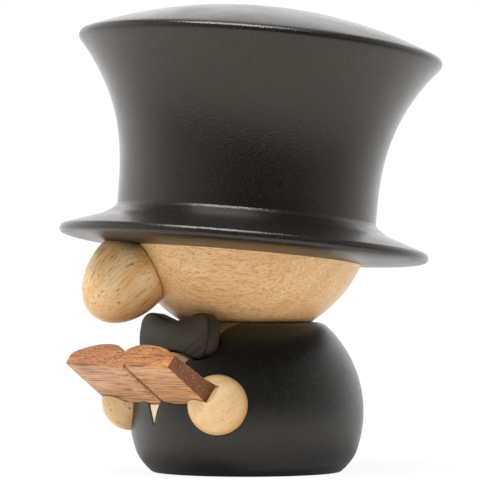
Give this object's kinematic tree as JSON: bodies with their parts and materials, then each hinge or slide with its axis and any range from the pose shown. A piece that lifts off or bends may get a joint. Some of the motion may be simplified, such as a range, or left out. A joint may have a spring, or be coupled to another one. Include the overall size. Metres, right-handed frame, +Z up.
{
  "type": "wooden figurine",
  "caption": "Turned wooden figurine in a top hat, reading an open book. The head turns on a neck dowel and the book slides out of the slots in its hands.",
  "frame": {"origin": "centre of the flat base that the figurine stands on", "axes": "+Z up, -Y the way the body faces, +X towards the figure's left hand"},
  "size_m": [0.0954, 0.0979, 0.1194],
  "materials": {
    "black_stained_wood": "black stain under satin lacquer",
    "pale_wood": "oiled pale hardwood with short brown pores",
    "shirt_wood": "bare pale hardwood",
    "book_wood": "oiled reddish-brown hardwood",
    "dowel_wood": "plain beech dowel"
  },
  "bodies": {
    "torso": {"torso": "black_stained_wood", "shirt_front": "shirt_wood", "bow_tie": "black_stained_wood", "left_hand": "pale_wood", "right_hand": "pale_wood", "left_hand_dowel": "dowel_wood", "right_hand_dowel": "dowel_wood", "neck_dowel": "dowel_wood"},
    "head": {"head": "pale_wood", "nose": "pale_wood", "nose_dowel": "dowel_wood", "top_hat": "black_stained_wood", "hat_dowel": "dowel_wood"},
    "book": {"book": "book_wood"}
  },
  "joints": [
    {"name": "head_turn", "type": "hinge", "parent": "torso", "child": "head", "pos_m": [0, 0, 0.0385], "axis": [0, 0, 1], "continuous": true},
    {"name": "book_slide", "type": "slide", "parent": "torso", "child": "book", "axis": [0, -0.7986, 0.6018], "range_m": [0, 0.006]}
  ]
}
